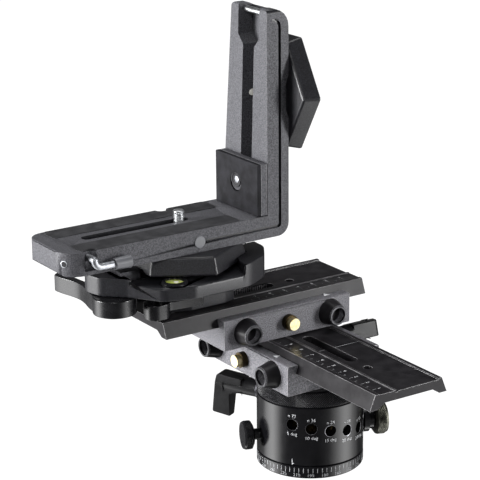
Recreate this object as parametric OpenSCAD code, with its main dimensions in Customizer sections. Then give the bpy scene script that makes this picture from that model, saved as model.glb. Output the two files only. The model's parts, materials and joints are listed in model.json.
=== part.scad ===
// Panoramic tripod head: indexed rotation unit, two crossed sliding plates,
// quick-release adapter and L-bracket. Millimetres, +Z up.
// The origin is on the pan axis, at the underside of the base.
// The lower plate runs along Y, the upper plate and the bracket's long arm along X.

/* [Rotation unit] */
// Diameter of the base and housing
base_d = 60; // [58:0.5:64]
// Height of the degree ring
ring_h = 7; // [6:0.5:9]
// Running gap between the degree ring and the housing
ring_gap = 0.4; // [0.3:0.05:0.8]
// Height of the rotating housing
housing_h = 34.1; // [33.5:0.5:40]
// Wall of the rotating housing
housing_wall = 5.4; // [4.5:0.1:6]
// Thickness of the housing's top web
web_t = 3.3; // [2.5:0.1:4]
// Height of the knurled top disc
disc_h = 9.5; // [9:0.5:13]
// How far the knurled top disc is set in from the housing's side
disc_inset = 0.4; // [0.2:0.1:2]
// Diameter of the spindle
spindle_d = 18; // [17:0.5:20]
// Radial clearance of the turning fits
run_fit = 0.06; // [0.03:0.01:0.08]
// Small gap left between pieces that move past each other
move_gap = 0.3; // [0.2:0.05:0.4]

/* [Tripod socket and clamp stud] */
// Major diameter of the tripod thread
thread_d = 9.52; // [6:0.02:10]
// Depth of the tripod thread
thread_depth = 12; // [9:0.5:15]
// Length of the stud that stands above the top disc
stud_h = 9; // [6:0.5:10]

/* [Click-stop index] */
// Number of index holes
hole_n = 10; // [4:1:10]
// Diameter of an index hole
hole_d = 6.5; // [5:0.1:7]
// Angle of the first index hole
hole_a0 = 215; // [210:1:220]
// Angle between neighbouring index holes
hole_step = 20.8; // [20:0.1:21.5]
// Height of the first index hole above the base
hole_z = 31.5; // [31:0.1:32]
// Drop from one index hole to the next
hole_drop = 1.9; // [1.7:0.05:2]
// Hole that the index plunger is screwed into
plunger_at = 7; // [6:1:8]
// Depth of a click notch in the index rings
notch_t = 0.9; // [0.6:0.1:1.2]

/* [Knobs and levers] */
// Diameter of the plunger knob
plunger_d = 19; // [16:0.5:22]
// Diameter of the drag knob
drag_d = 16.4; // [14:0.2:20]
// Angle of the drag knob
drag_a = 160; // [155:1:165]
// Height of the drag knob above the base
drag_z = 17.5; // [16:0.5:19]
// Angle of the pan lock lever
pan_lever_a = 117; // [112:1:124]
// Drop of the pan lock lever's axis below the housing's top
pan_lever_drop = 5.8; // [5.7:0.1:6.5]
// Diameter of a lever's hub
hub_d = 10.4; // [9:0.2:12]
// Reach of a lever's handle from its hub's face
lever_reach = 29; // [27:0.5:33]
// Length of a lever's handle below its axis
lever_drop = 20; // [16:0.5:26]

/* [Sliding plates] */
// Width of a sliding plate at its top
slide_w = 44; // [42:0.5:46]
// Width of a sliding plate across its dovetail feet
dovetail_w = 51; // [49.5:0.5:52.5]
// Height of a sliding plate
slide_h = 8.6; // [8:0.1:9.5]
// Thickness of a sliding plate's floor
floor_t = 5.7; // [4.5:0.1:6]
// Length of the lower sliding plate
lower_len = 160; // [150:1:190]
// Length of the upper sliding plate
upper_len = 134; // [128:1:160]
// Width of the slot in a sliding plate
slot_w = 6.6; // [5:0.2:8]
// Length of the slot in a sliding plate
slide_slot_len = 46; // [30:1:60]
// Distance from a plate's scale end to its slot
slot_at = 47; // [44:0.5:52]
// Distance from a plate's scale end to its stop hole
stop_hole_at = 35.5; // [30:0.5:38]
// Width of the strip that carries the centimetre scale
scale_w = 13.4; // [12:0.2:15]
// Width of the raised rim on the other side
rim_w = 2.5; // [2:0.1:4]
// Depth of the top's recess between the strip and the rim
recess_t = 0.8; // [0.5:0.1:1.2]

/* [Plate clamps] */
// Width of a clamp across its walls
clamp_w = 62; // [60:0.5:66]
// Length of a clamp
clamp_l = 85; // [80:1:95]
// Height of a clamp's walls
clamp_h = 17.2; // [16:0.2:18]
// Height from a clamp's underside to the top of its plate
stack_h = 20.8; // [20.6:0.2:22]
// Sliding clearance around a plate
slide_fit = 0.15; // [0.1:0.01:0.25]
// Distance between the two guide bosses
boss_gap = 57; // [50:1:62]
// Length of a guide boss
boss_l = 8.5; // [6:0.5:11]
// Diameter of a guide boss at its tip
boss_tip_d = 11.2; // [10.4:0.2:12.5]
// Diameter of a guide boss at its root
boss_root_d = 15.4; // [13:0.2:16.6]
// Height of the bosses' axes above the clamp's underside
boss_z = 8.8; // [8.4:0.1:9]
// Diameter of the brass release button
button_d = 6.8; // [5.6:0.1:7.2]
// Length of the release button outside the clamp
button_l = 6.5; // [5:0.5:8]
// How far the release button is pressed
button_travel = 2.5; // [1.5:0.1:3]

/* [Where the slides stand] */
// Middle of the lower clamp along the lower plate
lower_clamp_y = 20; // [16:1:24]
// Near end of the lower plate
lower_end_y = -88; // [-92:1:-84]
// Middle of the upper clamp along the lower plate
upper_clamp_y = 40; // [38:1:42]
// Middle of the upper clamp along the upper plate
upper_clamp_x = -8.5; // [-12:0.5:-4]
// Scale end of the upper plate
upper_end_x = 49.5; // [46:0.5:53]

/* [Quick-release adapter] */
// Middle of the adapter along the upper plate
adapter_x = -58; // [-60:0.5:-56]
// Height of the adapter's deck above the upper plate
deck_z = 22.9; // [21:0.1:24]
// Thickness of the adapter's deck
deck_t = 7.5; // [7:0.1:8.5]
// How far the adapter's deck stands out past the plate's corners
deck_rim = 0.3; // [0.3:0.1:4]
// Height of the fixed jaw above the deck
jaw_h = 5.8; // [5:0.1:6.5]
// Diameter of the bubble level's ring
level_d = 14.6; // [12:0.2:15.4]
// Diameter of the lever's hub under the deck
qr_hub_d = 24; // [20:0.5:25]
// Height of the quick-release lever
qr_lever_h = 9.7; // [7:0.1:11]
// Length of the quick-release lever from its pivot
qr_lever_l = 52; // [46:1:60]

/* [Hexagonal plates] */
// Width across the corners of a hexagonal plate, at its wide face
hex_wide = 72.4; // [70:0.2:73]
// Width across the corners at its narrow face
hex_narrow = 66.4; // [65:0.2:68]
// Thickness of a hexagonal plate
hex_t = 10; // [9:0.1:11]

/* [L-bracket] */
// Width of the bracket's long arm
arm_w = 44.5; // [43:0.5:47]
// Thickness of the long arm
arm_t = 12.7; // [12:0.1:14]
// Length of the long arm to the outside of the corner
arm_l = 140; // [137:1:150]
// Outside of the upright
upright_x = -2; // [-4:0.5:0]
// Thickness of the upright
upright_t = 14; // [13:0.1:15]
// Height of the bracket from the underside of the long arm
upright_h = 126.5; // [120:0.5:132]
// Width of the upright at its top
upright_top_w = 34; // [32:0.5:38]
// Thickness of the upright's outer wall behind its channel
upright_wall = 4.6; // [3.5:0.1:5.2]
// Width of the channel in the upright
channel_w = 10.6; // [9.6:0.2:12]
// Width of the fork at the top of the upright
fork_w = 20; // [17:0.5:21]
// Depth of the fork at the top of the upright
fork_h = 17; // [14:0.5:20]
// Start of the long arm's slot
arm_slot_x0 = -120; // [-122:0.5:-116]
// End of the long arm's slot
arm_slot_x1 = -54; // [-56:0.5:-50]
// Camera screw's place in the slot
camera_x = -59.5; // [-64:0.5:-59.5]
// Width of a rubber strip
strip_w = 13.8; // [11:0.2:14.4]
// Thickness of a rubber strip
strip_t = 1.2; // [0.8:0.1:1.6]
// Width of the camera stop
stop_w = 41.5; // [36:0.5:42]
// Height of the camera stop
stop_h = 29.5; // [26:0.5:34]
// Thickness of the camera stop's plate
stop_t = 4; // [3:0.1:5]
// Thickness of the camera stop's rubber pad
pad_t = 2.4; // [1.5:0.1:3]

/* [Hidden] */
$fn = 64;
EPS = 0.01;

// Heights of the stack
z_house = ring_h + ring_gap;
z_web = z_house + housing_h - web_t;
z_disc = z_house + housing_h;
z_low = z_disc + disc_h;
z_low_top = z_low + stack_h;
z_up_top = z_low_top + stack_h;
z_deck = z_up_top + deck_z;
z_seat = z_deck + 2.4;
z_hex = z_seat + move_gap;
z_arm = z_hex + hex_t;
z_arm_top = z_arm + arm_t;
z_top = z_arm + upright_h;

// Rotation unit
disc_r = base_d / 2 - disc_inset;
bore_r = base_d / 2 - housing_wall;
index_r = bore_r - 2.1;
ring_in_r = bore_r + 0.4;
land_t = hole_drop - 0.1;
click_counts = [72, 36, 24, 18, 15, 12, 10, 8, 6, 4];
plunger_a = hole_a0 + hole_step * (plunger_at - 1);
plunger_z = hole_z - hole_drop * (plunger_at - 1);
collar_l = 3;
lever_z = z_disc - pan_lever_drop;
nut_h = 4.2;

// Clamps, in a clamp's own frame: plate along Y, bosses at -X, lever at +X
channel_z = stack_h - slide_h - 0.1;
slope = (dovetail_w - slide_w) / 2 / slide_h;
split_x = 17;
jaw_x = split_x + move_gap;
boss_bore_r = boss_tip_d / 2 - 1.2;
rod_r = 2.5;
rod_fit = run_fit + 0.01;
draw_r = 3;
foot_w = 5;

// Adapter
deck_y = upper_clamp_y;
hub_x = -46;
hub_y = -5;
catch_x = -23.5;
catch_y = -13;
hex_flat = hex_wide / 2 * cos(30);
deck_w = hex_wide + 2 * deck_rim;
bush_r = 5.4;
horn_gap = 4;
screw_r = 3.17;

// Bracket
arm_y0 = deck_y - arm_w / 2;
arm_y1 = deck_y + arm_w / 2;
arm_x0 = upright_x - arm_l;
face_x = upright_x - upright_t;
side_z = z_arm + 78;
crank_x = -127;
crank_z = z_arm + arm_t / 2 + 2.4;
crank_out = 3.7;
crank_bend = 4;

// ---- shared shapes ----

function unit(v) = v / norm(v);

// Points of a round corner at b, between a and c
function corner(a, b, c, r, n = 6) =
    let (
        u = unit(a - b),
        v = unit(c - b),
        half = acos(u * v) / 2,
        centre = b + unit(u + v) * r / sin(half),
        s = b + u * r / tan(half) - centre,
        e = b + v * r / tan(half) - centre,
        a0 = atan2(s[1], s[0]),
        turn = (atan2(e[1], e[0]) - a0 + 540) % 360 - 180
    )
    [for (i = [0:n]) centre + r * [cos(a0 + turn * i / n), sin(a0 + turn * i / n)]];

// Polygon whose points are [x, y, corner radius]
module soft_polygon(pts) {
    n = len(pts);
    xy = [for (p = pts) [p[0], p[1]]];
    polygon([for (i = [0:n - 1])
        each pts[i][2] > 0
            ? corner(xy[(i + n - 1) % n], xy[i], xy[(i + 1) % n], pts[i][2])
            : [xy[i]]]);
}

module soft_rect(x0, y0, x1, y1, r) {
    soft_polygon([[x0, y0, r], [x1, y0, r], [x1, y1, r], [x0, y1, r]]);
}

// Turned piece: points are [radius, height]
module turned(pts) {
    rotate_extrude($fn = 96) polygon(pts);
}

// Moves a piece that stands along +X to a place on the housing's wall
module on_wall(a, z) {
    translate([0, 0, z]) rotate([0, 0, a]) children();
}

// Round bar along +X from x0 to x1
module bar(x0, x1, r) {
    translate([x0, 0, 0]) rotate([0, 90, 0]) cylinder(r = r, h = x1 - x0);
}

// Slot cutter along X
module slot_cut(x0, x1, w, z0, h) {
    translate([0, 0, z0]) linear_extrude(h) {
        translate([x0 + w / 2, 0]) circle(d = w);
        translate([x1 - w / 2, 0]) circle(d = w);
        translate([x0 + w / 2, -w / 2]) square([x1 - x0 - w, w]);
    }
}

// Extrudes an outline drawn in X and Z, from y0 to y1
module along_y(y0, y1) {
    translate([0, y1, 0]) rotate([90, 0, 0]) linear_extrude(y1 - y0) children();
}

// ---- rotation unit: the still part ----

module base_plate() color("dimgray") difference() {
    turned([[0, 0], [ring_in_r - 0.4, 0], [ring_in_r - 0.2, 0.3], [ring_in_r - 0.2, ring_h - 0.4],
        [0, ring_h - 0.4]]);
    translate([0, 0, -1]) cylinder(r = spindle_d / 2 - 2, h = 3);
    translate([0, 0, 1.8]) cylinder(r = spindle_d / 2, h = ring_h);
    for (i = [0:2]) rotate([0, 0, 60 + 120 * i]) translate([15, 0, -1]) {
        cylinder(r = 1.5, h = ring_h + 2);
        cylinder(r = 3, h = 4);
    }
}

module tripod_bush() color("silver") difference() {
    cylinder(r = spindle_d / 2 - 2, h = thread_depth + 1.5);
    translate([0, 0, -1]) cylinder(d = thread_d, h = thread_depth + 1);
}

module scale_ring() color("black") turned([[ring_in_r, 0], [base_d / 2 - 0.6, 0], [base_d / 2, 0.6],
    [base_d / 2, ring_h - 0.4], [base_d / 2 - 0.4, ring_h], [ring_in_r, ring_h]]);

module spindle() color("silver") difference() {
    union() {
        translate([0, 0, 1.8]) cylinder(r = spindle_d / 2, h = z_disc + nut_h - 1.8);
        translate([0, 0, ring_h - 0.4]) cylinder(r = spindle_d / 2 + 3, h = 1.2);
    }
    translate([0, 0, 0]) cylinder(r = spindle_d / 2 - 2, h = thread_depth + 1.5);
}

// One click ring a hole: thin notched discs with a plain brake band above them
module index_rings() color("goldenrod") difference() {
    union() {
        for (k = [0:hole_n - 1]) translate([0, 0, hole_z - hole_drop * k - land_t / 2])
            linear_extrude(land_t) difference() {
                circle(r = index_r);
                for (i = [0:click_counts[k] - 1])
                    rotate(hole_a0 + hole_step * k + 360 * i / click_counts[k])
                        translate([index_r - notch_t, 0])
                            polygon([[0, 0], [notch_t + 0.2, -0.7], [notch_t + 0.2, 0.7]]);
            }
        translate([0, 0, hole_z + land_t / 2 + 0.1])
            cylinder(r = index_r, h = z_web - 0.3 - hole_z - land_t / 2 - 0.1);
        translate([0, 0, ring_h - 0.4])
            cylinder(r = index_r - 4, h = z_web - 0.3 - ring_h + 0.4);
    }
    cylinder(r = spindle_d / 2, h = 100);
    translate([0, 0, ring_h - 1]) cylinder(r = spindle_d / 2 + 3, h = 1.8);
    for (i = [0:2]) rotate([0, 0, 60 + 120 * i]) translate([15, 0, 0])
        cylinder(r = 1.5, h = z_web - 2);
}

module ring_clamp_screws() color("silver") for (i = [0:2]) rotate([0, 0, 60 + 120 * i])
    translate([15, 0, 0.4]) {
        cylinder(r = 2.9, h = 2.6);
        cylinder(r = 1.5, h = z_web - 3);
    }

module spindle_nut() color("silver") difference() {
    translate([0, 0, z_disc + 0.1]) cylinder(r = spindle_d / 2 + 4, h = nut_h - 0.1);
    cylinder(r = spindle_d / 2, h = 100);
    for (i = [0:3]) rotate([0, 0, 90 * i]) translate([spindle_d / 2 + 2.4, -1.2, z_disc + nut_h - 1.5])
        cube([3, 2.4, 3]);
}

// ---- rotation unit: the turning part ----

module housing() color("black") difference() {
    turned([[bore_r, z_house], [base_d / 2 - 0.4, z_house], [base_d / 2, z_house + 0.4],
        [base_d / 2, z_disc - 0.5], [base_d / 2 - 0.5, z_disc], [spindle_d / 2 + run_fit, z_disc],
        [spindle_d / 2 + run_fit, z_web], [bore_r, z_web]]);
    for (k = [0:hole_n - 1]) on_wall(hole_a0 + hole_step * k, hole_z - hole_drop * k)
        bar(bore_r - 1, base_d, hole_d / 2);
    on_wall(drag_a, drag_z) bar(bore_r - 1, base_d, hole_d / 2);
    on_wall(pan_lever_a, lever_z) bar(bore_r - 3, base_d, hole_d / 2);
    for (i = [0:2]) rotate([0, 0, 30 + 120 * i]) translate([21, 0, z_web - 1])
        cylinder(r = 1.6, h = web_t + 2);
}

module knurled_disc() color("black") difference() {
    turned([[0, z_disc], [disc_r - 0.6, z_disc], [disc_r, z_disc + 0.6],
        [disc_r, z_low - 0.9], [disc_r - 0.9, z_low], [0, z_low]]);
    translate([0, 0, z_disc - 1]) cylinder(r = spindle_d / 2 + 5, h = nut_h + 1.4);
    translate([0, 0, z_disc]) cylinder(d = thread_d, h = disc_h + 1);
    for (i = [0:2]) rotate([0, 0, 30 + 120 * i]) translate([21, 0, z_disc - 1]) {
        cylinder(r = 1.6, h = disc_h + 2);
        translate([0, 0, disc_h - 2.4]) cylinder(r = 3.1, h = 6);
    }
}

module disc_screws() color("silver") for (i = [0:2]) rotate([0, 0, 30 + 120 * i])
    translate([21, 0, z_web + 0.2]) {
        cylinder(r = 1.6, h = z_low - 3 - z_web);
        translate([0, 0, z_low - 3.4 - z_web]) cylinder(r = 3, h = 2.8);
    }

module clamp_stud() color("silver") translate([0, 0, z_disc + nut_h + 0.5])
    cylinder(d = thread_d, h = z_low + stud_h - z_disc - nut_h - 0.5);

// ---- knobs on the housing ----

module plunger_collar() color("black") on_wall(plunger_a, plunger_z) difference() {
    union() {
        bar(bore_r + 0.2, base_d / 2 + 1, hole_d / 2);
        bar(base_d / 2 + 0.3, base_d / 2 + 0.3 + collar_l, plunger_d / 2 - 2.2);
        bar(base_d / 2 + collar_l, base_d / 2 + collar_l + 3.4, plunger_d / 2 - 3.6);
    }
    bar(bore_r - 1, base_d, 2.2);
    bar(base_d / 2 - 2, base_d / 2 + 4, 2.9);
}

// The nose stands just clear of the ring, on a land between two clicks
module plunger_pin() color("silver") on_wall(plunger_a, plunger_z) union() {
    bar(index_r + 0.9, base_d / 2 + collar_l + 6.5, 2.2 - rod_fit);
    translate([index_r + 0.2, 0, 0]) rotate([0, 90, 0])
        cylinder(r1 = 0.3, r2 = 0.8, h = 0.9);
    bar(base_d / 2 - 1.9, base_d / 2 - 1.2, 2.8);
}

module plunger_knob() color("black") on_wall(plunger_a, plunger_z) difference() {
    x0 = base_d / 2 + collar_l + 3.7;
    translate([x0, 0, 0]) rotate([0, 90, 0]) turned([[0, 0], [plunger_d / 2 - 2, 0],
        [plunger_d / 2, 1.3], [plunger_d / 2, 6.2], [plunger_d / 2 - 1, 7.3], [0, 7.3]]);
    bar(x0 - 1, base_d / 2 + collar_l + 6.5, 2.2 - rod_fit);
}

module drag_knob() color("black") on_wall(drag_a, drag_z) union() {
    x0 = base_d / 2 + 3.4;
    bar(bore_r + 2, base_d / 2 + 4, hole_d / 2 - rod_fit);
    translate([x0, 0, 0]) rotate([0, 90, 0]) turned([[0, 0], [drag_d / 2 - 2.2, 0],
        [drag_d / 2, 1.2], [drag_d / 2, 5.2], [drag_d / 2 - 0.7, 5.9], [0, 5.9]]);
}

module drag_pad() color("ivory") on_wall(drag_a, drag_z)
    bar(index_r + 0.5, bore_r + 1.7, hole_d / 2 - rod_fit);

// Handle shared by the three lock levers: hub along +X, grip hanging along -Z
module lever_handle() {
    grip_x = lever_reach - 9.5;
    bar(2.6, grip_x + 4, hub_d / 2);
    intersection() {
        along_y(-6, 6) soft_polygon([[grip_x - 8, -3.5, 0], [grip_x, -5, 1.5],
            [grip_x + 0.8, -lever_drop, 1], [lever_reach + 3.2, -lever_drop + 1.2, 1.2],
            [lever_reach, 1, 6], [lever_reach - 1, 6.2, 2.5], [grip_x - 8, 5, 0]]);
        rotate([0, 0, 90]) along_y(-50, 50) soft_polygon([[-4.6, 7, 0.8], [-5.2, 1, 3],
            [-2.5, -lever_drop - 1, 0.8], [2.5, -lever_drop - 1, 0.8], [5.2, 1, 3], [4.6, 7, 0.8]]);
    }
}

module pan_lever() color("black") on_wall(pan_lever_a, lever_z) translate([base_d / 2, 0, 0])
    difference() {
        lever_handle();
        bar(0, 14, draw_r);
    }

module pan_lever_screw() color("silver") on_wall(pan_lever_a, lever_z) union() {
    bar(bore_r + 1.6, base_d / 2 + 14, draw_r);
    bar(base_d / 2 + 0.4, base_d / 2 + 2.6, hub_d / 2 + 0.5);
}

module pan_brake_shoe() color("ivory") on_wall(pan_lever_a, lever_z)
    bar(index_r + 0.5, bore_r + 1.3, hole_d / 2 - rod_fit - 0.15);

// ---- plate clamps: the lower one as it lies, the upper one turned a quarter ----

module in_lower() {
    translate([0, lower_clamp_y, z_low]) children();
}

module in_upper() {
    translate([upper_clamp_x, upper_clamp_y, z_low_top]) rotate([0, 0, 90]) children();
}

module at_rods() {
    for (s = [-1, 1]) translate([0, s * boss_gap / 2, boss_z]) children();
}

// Half width of the plate, plus its clearance, at height h in the clamp
function seat_x(h) = slide_w / 2 + (stack_h - h) * slope + slide_fit + 0.05;

module clamp_body() difference() {
    union() {
        along_y(-clamp_l / 2, clamp_l / 2) soft_polygon([[-clamp_w / 2, 0, 0.4], [split_x, 0, 0],
            [split_x, channel_z, 0], [-seat_x(channel_z), channel_z, 0],
            [-seat_x(clamp_h), clamp_h, 0.8], [-clamp_w / 2, clamp_h, 1]]);
        at_rods() translate([-clamp_w / 2 - boss_l, 0, 0]) rotate([0, 90, 0])
            cylinder(d1 = boss_tip_d, d2 = boss_root_d, h = boss_l + 0.5);
    }
    at_rods() {
        bar(-clamp_w / 2 - boss_l - 1, -clamp_w / 2 + 5, boss_bore_r);
        bar(-clamp_w / 2, split_x + 1, rod_r + rod_fit);
    }
    translate([0, 0, boss_z]) {
        bar(-clamp_w / 2 - 1, -clamp_w / 2 + 2, button_d / 2 + 0.5);
        bar(-clamp_w / 2 - 1, -clamp_w / 2 + 12, button_d / 2 + rod_fit);
        bar(-6, split_x + 1, draw_r + rod_fit);
    }
}

module clamp_jaw() difference() {
    along_y(-clamp_l / 2, clamp_l / 2) soft_polygon([[jaw_x, 0, 0], [clamp_w / 2, 0, 0.4],
        [clamp_w / 2, clamp_h, 1], [seat_x(clamp_h), clamp_h, 0.8],
        [seat_x(channel_z), channel_z, 0], [jaw_x, channel_z, 0]]);
    at_rods() bar(jaw_x - 1, clamp_w / 2 - 3, rod_r);
    translate([0, 0, boss_z]) bar(jaw_x - 1, clamp_w / 2 + 1, draw_r + rod_fit);
}

module jaw_rods() at_rods() {
    bar(-clamp_w / 2 - 2, clamp_w / 2 - 3, rod_r);
    bar(-clamp_w / 2 - 3.5, -clamp_w / 2 - 2, boss_bore_r - rod_fit);
}

module button() {
    translate([0, 0, boss_z]) union() {
        bar(-clamp_w / 2 - button_l, -clamp_w / 2 + 7, button_d / 2);
        bar(-clamp_w / 2 + 7, -clamp_w / 2 + 9, 1.6);
    }
}

module button_bush() translate([0, 0, boss_z]) difference() {
    union() {
        bar(-clamp_w / 2 - 3.2, -clamp_w / 2, button_d / 2 + 1);
        bar(-clamp_w / 2, -clamp_w / 2 + 2, button_d / 2 + 0.5);
    }
    bar(-clamp_w, 0, button_d / 2 + rod_fit);
}

// The grip points along +Y, a little below level
module clamp_lever() translate([clamp_w / 2, 0, boss_z]) rotate([74, 0, 0]) difference() {
    lever_handle();
    bar(0, 14, draw_r);
}

module clamp_lever_screw() translate([0, 0, boss_z]) {
    bar(-4, clamp_w / 2 + 14, draw_r);
    bar(clamp_w / 2 + move_gap, clamp_w / 2 + 2.6, hub_d / 2 + 0.5);
}

module lower_clamp() color("dimgray") difference() {
    in_lower() clamp_body();
    translate([0, 0, z_low - 1]) cylinder(d = thread_d, h = stud_h + 1.3);
}

module lower_jaw() color("dimgray") in_lower() clamp_jaw();

module lower_jaw_rods() color("silver") in_lower() jaw_rods();

module lower_button() color("gold") in_lower() button();

module lower_button_bush() color("goldenrod") in_lower() button_bush();

module lower_lever() color("black") in_lower() clamp_lever();

module lower_lever_screw() color("silver") in_lower() clamp_lever_screw();

module upper_clamp() color("dimgray") difference() {
    in_upper() clamp_body();
    at_clamp_screws() {
        cylinder(r = 2.05, h = 40, center = true);
        translate([0, 0, channel_z - 3.2]) cylinder(r = 4, h = 10);
    }
}

module upper_clamp_screws() color("silver") at_clamp_screws() {
    translate([0, 0, -4.4]) cylinder(r = 2, h = channel_z + 1.2);
    translate([0, 0, channel_z - 3.2]) cylinder(r = 3.9, h = 3);
}

module upper_jaw() color("dimgray") in_upper() clamp_jaw();

module upper_jaw_rods() color("silver") in_upper() jaw_rods();

module upper_button() color("gold") in_upper() button();

module upper_button_bush() color("goldenrod") in_upper() button_bush();

module upper_lever() color("black") in_upper() clamp_lever();

module upper_lever_screw() color("silver") in_upper() clamp_lever_screw();

// The four screws that hold the upper clamp down on the lower plate
module at_clamp_screws() {
    for (x = [-16, 8]) for (dy = [-12, 12])
        translate([x, upper_clamp_y + dy, z_low_top]) children();
}

// ---- sliding plates: scale strip at -X, scale end at -Y, top at z = 0 ----

module slide_plate(len) difference() {
    half = slide_w / 2;
    foot = dovetail_w / 2;
    strip_x = -half + scale_w;
    along_y(0, len) polygon([[-half, 0], [-half + 2.4, 0], [-half + 2.7, -0.4], [strip_x - 1.4, -0.4],
        [strip_x - 1.1, 0], [strip_x, 0], [strip_x, -recess_t - 0.6], [strip_x + 1.2, -recess_t - 0.6],
        [strip_x + 1.2, -recess_t], [half - rim_w, -recess_t], [half - rim_w, 0], [half, 0],
        [foot, -slide_h], [foot - foot_w, -slide_h],
        [foot - foot_w - 4.5, -floor_t], [-foot + foot_w + 4.5, -floor_t],
        [-foot + foot_w, -slide_h], [-foot, -slide_h]]);
    translate([0, stop_hole_at, -20]) cylinder(r = 2.4, h = 30);
    rotate([0, 0, 90]) slot_cut(slot_at, slot_at + slide_slot_len, slot_w, -20, 30);
    for (y = [0, len]) for (x = [-half - 1, half - 10]) translate([x, y, 0])
        rotate([45, 0, 0]) cube([11, 1.1, 1.1], center = false);
}

module lower_slide() color("dimgray") difference() {
    translate([0, lower_end_y, z_low_top]) slide_plate(lower_len);
    at_clamp_screws() cylinder(r = 2, h = 40, center = true);
}

module upper_slide() color("dimgray") difference() {
    translate([upper_end_x, deck_y, z_up_top]) rotate([0, 0, 90]) slide_plate(upper_len);
    at_foot_screws() cylinder(r = 2, h = 40, center = true);
}

// ---- quick-release adapter: its middle is the middle of the hexagonal seat ----

module in_adapter() {
    translate([adapter_x, deck_y, 0]) children();
}

module at_foot_screws() {
    in_adapter() for (s = [-1, 1]) translate([s * 12, 0, z_up_top]) children();
}

module foot_outline() {
    soft_polygon([[-17.3, -9.5, 2], [-3, -14.2, 1], [19, -14, 1], [27, -11.4, 1.5], [27, 11.4, 1.5],
        [19, 14, 1], [-3, 14.2, 1], [-17.3, 9.5, 2]]);
}

module adapter_foot() color("dimgray") difference() {
    in_adapter() union() {
        translate([0, 0, z_up_top]) linear_extrude(deck_z - deck_t) foot_outline();
        translate([0, 0, z_up_top - recess_t]) linear_extrude(2) intersection() {
            foot_outline();
            translate([-50, scale_w - slide_w / 2 + 1.4]) square([100, 50]);
        }
    }
    at_foot_screws() translate([0, 0, -1]) cylinder(r = 2.05, h = 40);
    in_adapter() translate([catch_x, catch_y, z_up_top + 1]) cylinder(r = 7.2, h = 9.4);
}

module deck_outline() {
    w = deck_w / 2;
    soft_polygon([[-57, 10, 9], [-54.5, -3, 8], [-43, -14, 9], [-31, -w + 5, 8], [-14, -w, 10],
        [20, -w, 18], [36.5, -27, 11], [45, -14, 12], [45, 14, 12], [36.5, 27, 11],
        [20, w, 18], [-14, w, 10], [-31, w - 5, 8], [-45, 20, 9]]);
}

// Hexagon with corners towards -Y and +Y, as a frustum of flat faces; z0 is its wide face
module hex_frustum(wide, narrow, h, spread = 0) {
    r1 = wide / 2 + spread / cos(30);
    lean = atan((wide - narrow) / 2 * cos(30) / h);
    difference() {
        rotate([0, 0, 30]) cylinder(r = r1, h = h, $fn = 6);
        for (i = [0:5]) rotate([0, 0, 60 * i]) translate([r1 * cos(30), 0, 0])
            rotate([0, -lean, 0]) translate([0, -wide, -h]) cube([wide, 2 * wide, 3 * h]);
    }
}

module adapter_body() color("black") difference() {
    union() {
        in_adapter() translate([0, 0, z_deck - deck_t]) linear_extrude(deck_t) deck_outline();
        in_adapter() translate([0, 0, z_deck]) linear_extrude(jaw_h) intersection() {
            deck_outline();
            for (m = [0, 1]) mirror([0, m, 0]) soft_polygon([[13, -60, 0], [60, -60, 0],
                [60, -horn_gap, 0], [40, -horn_gap, 5], [28, -horn_gap - 6, 3], [19, -deck_w / 2 + 8, 3]]);
        }
        in_adapter() translate([0, 0, z_deck]) linear_extrude(3) intersection() {
            deck_outline();
            soft_polygon([[-70, -40, 0], [-42, -16, 4], [-42, 40, 0], [-70, 40, 0]]);
        }
        in_adapter() translate([0, 0, z_deck]) linear_extrude(z_seat - z_deck)
            circle(r = 24, $fn = 6);
        // pin of the safety catch
        in_adapter() translate([catch_x, catch_y, z_up_top + 5.7])
            cylinder(r = 2 - rod_fit, h = deck_z - deck_t - 4);
    }
    // seat of the hexagonal plate under the jaw's lip
    in_adapter() translate([0, 0, z_hex]) hex_frustum(hex_wide, hex_narrow, hex_t, move_gap);
    in_adapter() translate([0, 0, z_seat]) rotate([0, 0, 30])
        cylinder(r = hex_wide / 2 + 0.35, h = move_gap + EPS, $fn = 6);
    // bubble level, lever pivot, moving jaw and foot screws
    at_level() translate([0, 0, -4]) cylinder(d = level_d + 0.1, h = 10);
    at_pivot() translate([0, 0, -1]) cylinder(r = 3, h = deck_t - 1.4);
    in_adapter() translate([-46, -9, z_deck - 2]) cube([46 - hex_flat + 3, 18, 12]);
    at_foot_screws() {
        cylinder(r = 2.05, h = 60);
        translate([0, 0, deck_z - 3.4]) cylinder(r = 4, h = 20);
    }
}

module adapter_screws() color("silver") at_foot_screws() {
    translate([0, 0, -4.6]) cylinder(r = 2, h = deck_z + 1.6);
    translate([0, 0, deck_z - 3.4]) cylinder(r = 3.9, h = 3.2);
}

module at_level() {
    in_adapter() translate([-21, 10.5 - deck_w / 2, z_deck]) children();
}

module level_ring() color("silver") at_level() difference() {
    translate([0, 0, -4]) cylinder(d = level_d, h = 4.4);
    translate([0, 0, -2.6]) cylinder(d = level_d - 3.2, h = 10);
}

module level_vial() color("yellowgreen") at_level() translate([0, 0, -2.6])
    cylinder(d = level_d - 3.2, h = 2.7);

module at_pivot() {
    in_adapter() translate([hub_x, hub_y, z_deck - deck_t]) children();
}

// Lever: round hub under the deck, and a waisted paddle that runs back along +Y
module qr_lever() color("black") at_pivot() translate([0, 0, -move_gap - qr_lever_h])
    difference() {
        union() {
            cylinder(d = qr_hub_d, h = qr_lever_h);
            linear_extrude(qr_lever_h) polygon(concat(
                [for (t = [0:0.0625:1]) let (y = 6 + (qr_lever_l - 8) * t)
                    [-7.8 - 1.8 * cos(360 * t), y]],
                [[-7, qr_lever_l], [-3.6, qr_lever_l - 1.5]],
                [for (t = [1:-0.125:0]) let (y = 6 + (qr_lever_l - 9) * t)
                    [-2.8 + 7 * pow(1 - t, 2), y]]));
        }
        translate([0, 0, -1]) cylinder(r = 3 + rod_fit, h = 20);
        translate([0, 0, -1]) cylinder(r = 6, h = 3.3);
    }

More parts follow.
